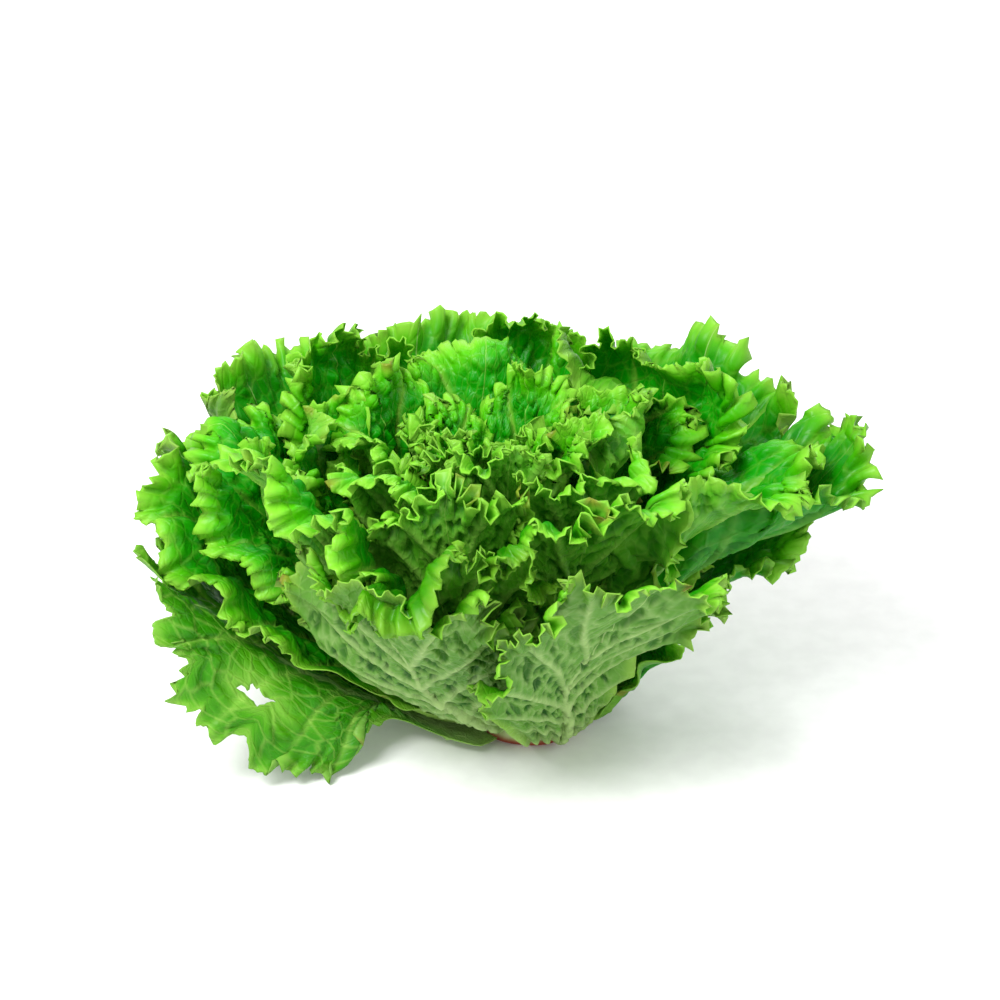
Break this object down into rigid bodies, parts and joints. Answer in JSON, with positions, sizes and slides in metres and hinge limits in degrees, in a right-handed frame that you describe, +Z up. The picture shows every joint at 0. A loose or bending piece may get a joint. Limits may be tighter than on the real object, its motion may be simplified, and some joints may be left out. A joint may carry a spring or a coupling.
{
  "type": "green leaf lettuce",
  "caption": "Whole head of green leaf lettuce, cut at the root and standing on its stump, with ruffled leaves nested round a small heart and one outer leaf hanging to the table.",
  "frame": {"origin": "centre of the stump's cut face, on the surface that the head stands on", "axes": "+Z up along the stem, -Y towards the viewer in the picture (the front), +X to the viewer's right, along the head's greatest width"},
  "size_m": [0.2962, 0.2382, 0.1599],
  "materials": {
    "outer_leaf": "matt leaf, grey-green and pale veined underneath",
    "inner_leaf": "satin leaf, yellow-green at its margin",
    "heart_leaf": "satin young leaf",
    "stump": "damp pale stem, red-brown at the cut"
  },
  "bodies": {
    "root": {"stem": "stump", "heart": "heart_leaf", "low_leaf": "outer_leaf", "left_leaf": "outer_leaf", "front_left_leaf": "outer_leaf", "front_right_leaf": "outer_leaf", "right_leaf": "outer_leaf", "right_low_leaf": "outer_leaf", "back_right_leaf": "outer_leaf", "back_leaf": "outer_leaf", "back_left_leaf": "outer_leaf", "second_leaf_1": "inner_leaf", "second_leaf_2": "inner_leaf", "second_leaf_3": "inner_leaf", "second_leaf_4": "inner_leaf", "second_leaf_5": "inner_leaf", "second_leaf_6": "inner_leaf", "second_leaf_7": "inner_leaf", "second_leaf_8": "inner_leaf", "inner_leaf_01": "inner_leaf", "inner_leaf_02": "inner_leaf", "inner_leaf_03": "inner_leaf", "inner_leaf_04": "inner_leaf", "inner_leaf_05": "inner_leaf", "inner_leaf_06": "inner_leaf", "inner_leaf_07": "inner_leaf", "inner_leaf_08": "inner_leaf", "inner_leaf_09": "inner_leaf", "inner_leaf_10": "inner_leaf", "inner_leaf_11": "inner_leaf", "inner_leaf_12": "inner_leaf", "inner_leaf_13": "inner_leaf", "inner_leaf_14": "inner_leaf", "inner_leaf_15": "inner_leaf", "inner_leaf_16": "inner_leaf", "inner_leaf_17": "inner_leaf"}
  },
  "joints": []
}
